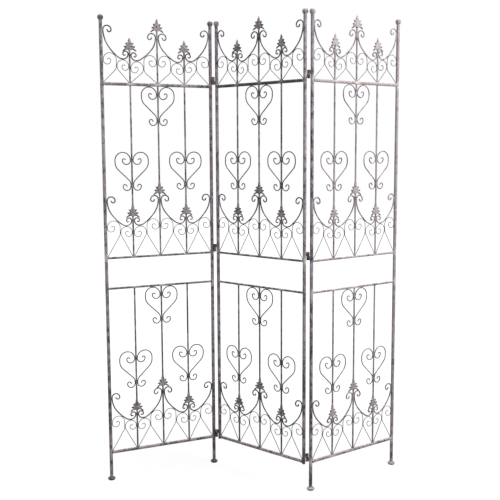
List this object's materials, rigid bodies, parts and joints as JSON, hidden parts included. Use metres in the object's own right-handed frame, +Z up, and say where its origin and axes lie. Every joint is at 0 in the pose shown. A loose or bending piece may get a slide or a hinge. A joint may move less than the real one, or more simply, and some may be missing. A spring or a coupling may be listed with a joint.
{
  "type": "folding garden screen",
  "caption": "Folding metal garden screen: hinged tube-frame panels filled with swags, scrolled hearts and cast leaves, with ball-capped posts and bun feet.",
  "frame": {"origin": "on the floor, at the centre of the rectangle round the four feet", "axes": "+Z up, +X along the row of panels to the viewer's right, +Y away from the viewer of the picture"},
  "size_m": [1.1626, 0.321, 1.7999],
  "materials": {
    "frame": "worn antique grey paint over dark metal, rubbed to beige at edges",
    "bent_rod": "worn antique grey paint over dark metal, rubbed to beige at edges",
    "wire": "worn antique grey paint over dark metal, rubbed to beige at edges",
    "cast_leaf": "rough casting with a dark brownish grey wash",
    "cap_and_foot": "worn antique grey paint over dark metal, rubbed to beige at edges",
    "hinge": "worn antique grey paint over dark metal, rubbed to beige at edges",
    "pin": "dull steel"
  },
  "bodies": {
    "left_panel": {"left_panel_left_post": "frame", "left_panel_right_post": "frame", "left_panel_top_rail": "frame", "left_panel_bottom_rail": "frame", "left_panel_mid_rails": "frame", "left_panel_crest_bars": "frame", "left_panel_upper_bars": "frame", "left_panel_lower_bars": "frame", "left_panel_crest_swags": "bent_rod", "left_panel_upper_swags": "bent_rod", "left_panel_lower_swags": "bent_rod", "left_panel_scroll_hearts": "bent_rod", "left_panel_crest_wire_hearts": "wire", "left_panel_upper_wire_hearts": "wire", "left_panel_lower_wire_hearts": "wire", "left_panel_leaves": "cast_leaf", "left_panel_ball_caps": "cap_and_foot", "left_panel_feet": "cap_and_foot", "left_hinge_outer_knuckles": "hinge"},
    "middle_panel": {"middle_panel_left_post": "frame", "middle_panel_right_post": "frame", "middle_panel_top_rail": "frame", "middle_panel_bottom_rail": "frame", "middle_panel_mid_rails": "frame", "middle_panel_crest_bars": "frame", "middle_panel_upper_bars": "frame", "middle_panel_lower_bars": "frame", "middle_panel_crest_swags": "bent_rod", "middle_panel_upper_swags": "bent_rod", "middle_panel_lower_swags": "bent_rod", "middle_panel_scroll_hearts": "bent_rod", "middle_panel_crest_wire_hearts": "wire", "middle_panel_upper_wire_hearts": "wire", "middle_panel_lower_wire_hearts": "wire", "middle_panel_leaves": "cast_leaf", "middle_panel_ball_caps": "cap_and_foot", "left_hinge_middle_knuckles": "hinge", "left_hinge_pins": "pin", "right_hinge_middle_knuckles": "hinge", "right_hinge_pins": "pin"},
    "right_panel": {"right_panel_left_post": "frame", "right_panel_right_post": "frame", "right_panel_top_rail": "frame", "right_panel_bottom_rail": "frame", "right_panel_mid_rails": "frame", "right_panel_crest_bars": "frame", "right_panel_upper_bars": "frame", "right_panel_lower_bars": "frame", "right_panel_crest_swags": "bent_rod", "right_panel_upper_swags": "bent_rod", "right_panel_lower_swags": "bent_rod", "right_panel_scroll_hearts": "bent_rod", "right_panel_crest_wire_hearts": "wire", "right_panel_upper_wire_hearts": "wire", "right_panel_lower_wire_hearts": "wire", "right_panel_leaves": "cast_leaf", "right_panel_ball_caps": "cap_and_foot", "right_panel_feet": "cap_and_foot", "right_hinge_outer_knuckles": "hinge"}
  },
  "joints": [
    {"name": "left_panel_fold", "type": "hinge", "parent": "middle_panel", "child": "left_panel", "pos_m": [-0.15642, 0.139, 0.9], "axis": [0, 0, 1], "range_deg": [-24, 114]},
    {"name": "right_panel_fold", "type": "hinge", "parent": "middle_panel", "child": "right_panel", "pos_m": [0.20079, -0.14157, 0.9], "axis": [0, 0, 1], "range_deg": [-36, 102]}
  ]
}
